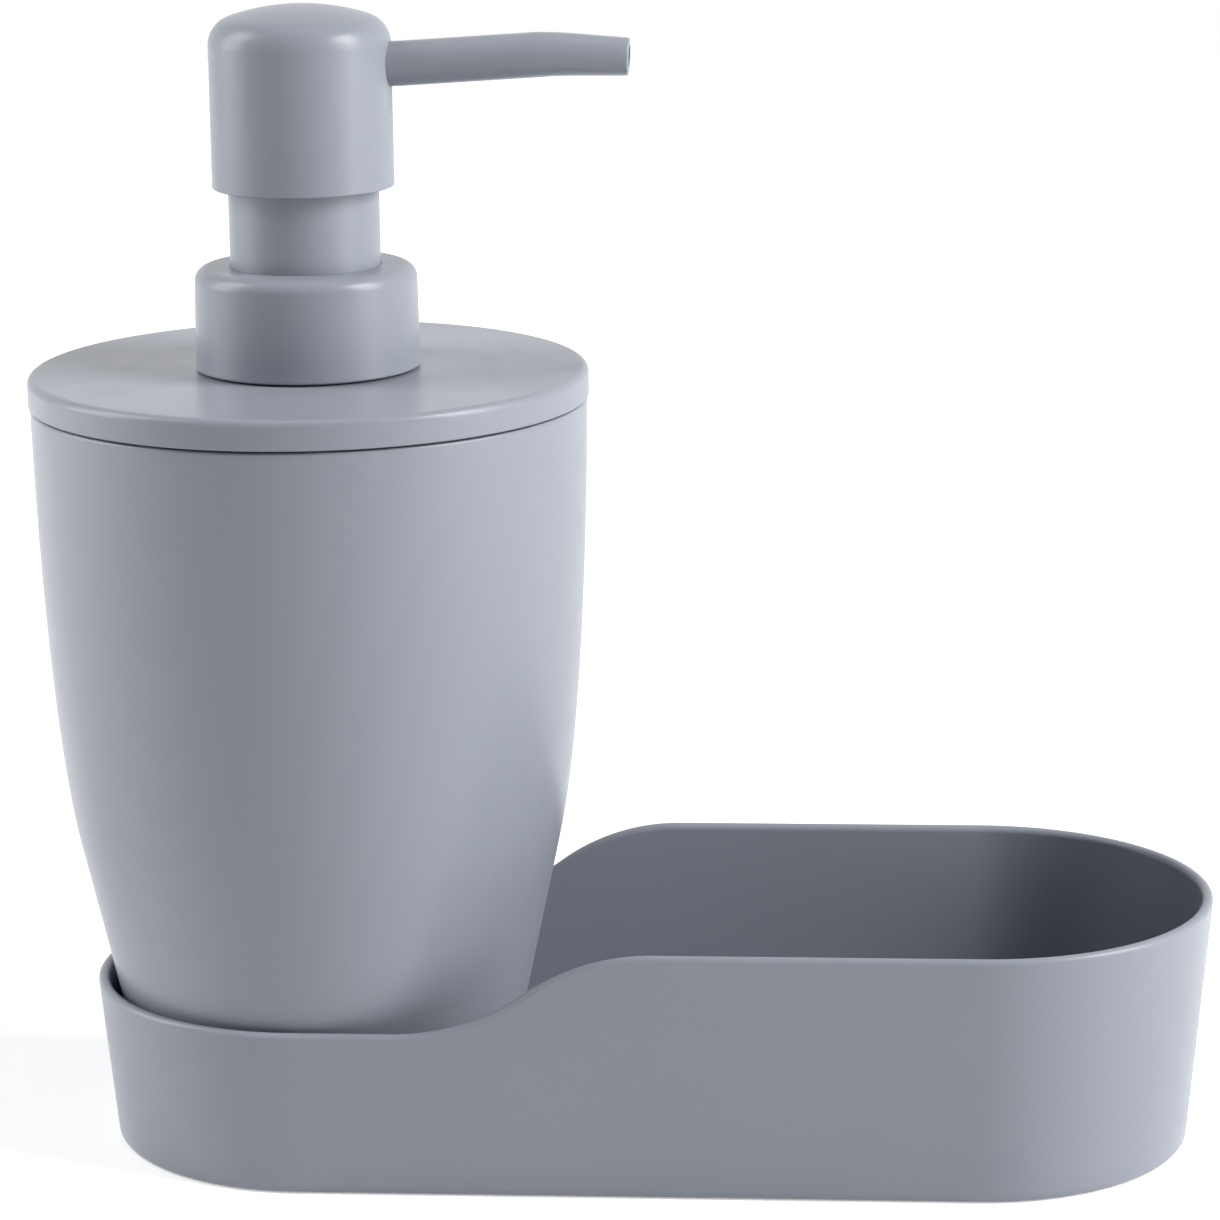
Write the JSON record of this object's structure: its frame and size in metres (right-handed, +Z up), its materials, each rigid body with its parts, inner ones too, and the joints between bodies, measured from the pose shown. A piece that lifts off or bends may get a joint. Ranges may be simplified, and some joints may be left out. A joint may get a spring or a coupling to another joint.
{
  "type": "soap dispenser",
  "caption": "Pump soap dispenser with a barrel-shaped bottle, standing in the low round end of a sink caddy with a sponge bay.",
  "frame": {"origin": "on the bottle's axis, in the plane that the caddy stands on", "axes": "+Z up along the bottle's axis, +X along the caddy towards its sponge bay, +Y to the back"},
  "size_m": [0.183, 0.0862, 0.1784],
  "materials": {
    "shell_plastic": "satin moulded polypropylene",
    "pump_plastic": "natural moulded polypropylene",
    "seal_plastic": "soft polyethylene",
    "stainless_steel": "drawn wire"
  },
  "bodies": {
    "tray": {"caddy_tray": "shell_plastic"},
    "bottle": {"bottle_body": "shell_plastic"},
    "lid": {"bottle_lid": "shell_plastic"},
    "pump": {"pump_housing": "pump_plastic", "neck_gasket": "seal_plastic", "guide_sleeve": "shell_plastic", "return_spring": "stainless_steel", "dip_tube": "pump_plastic"},
    "collar": {"screw_collar": "shell_plastic"},
    "ball": {"intake_ball": "stainless_steel"},
    "plunger": {"piston_seat": "pump_plastic"},
    "seal": {"piston_seal": "seal_plastic"},
    "head": {"pump_stem": "pump_plastic", "head_core": "pump_plastic", "head_shell": "shell_plastic", "spout": "shell_plastic"}
  },
  "joints": [
    {"name": "bottle_lift", "type": "slide", "parent": "tray", "child": "bottle", "axis": [0, 0, 1], "range_m": [0, 0.045]},
    {"name": "lid_lift", "type": "slide", "parent": "bottle", "child": "lid", "axis": [0, 0, 1], "range_m": [0, 0.115]},
    {"name": "pump_rise", "type": "slide", "parent": "lid", "child": "pump", "axis": [0, 0, 1], "range_m": [0, 0.00635]},
    {"name": "collar_turn", "type": "hinge", "parent": "pump", "child": "collar", "pos_m": [0, 0, 0.1231], "axis": [0, 0, 1], "range_deg": [0, 540]},
    {"name": "ball_lift", "type": "slide", "parent": "pump", "child": "ball", "axis": [0, 0, 1], "range_m": [0, 0.0015]},
    {"name": "press", "type": "slide", "parent": "pump", "child": "plunger", "axis": [0, 0, -1], "range_m": [0, 0.0105], "stiffness_N_per_m": 250, "springref_m": -0.018, "deforming": ["return_spring"]},
    {"name": "seal_float", "type": "slide", "parent": "plunger", "child": "seal", "axis": [0, 0, 1], "range_m": [0, 0.001]},
    {"name": "head_swivel", "type": "hinge", "parent": "plunger", "child": "head", "pos_m": [0, 0, 0.1508], "axis": [0, 0, 1], "continuous": true}
  ],
  "couplings": [
    {"joint": "pump_rise", "follows": "collar_turn", "m_per_rad": 0.00067372}
  ]
}
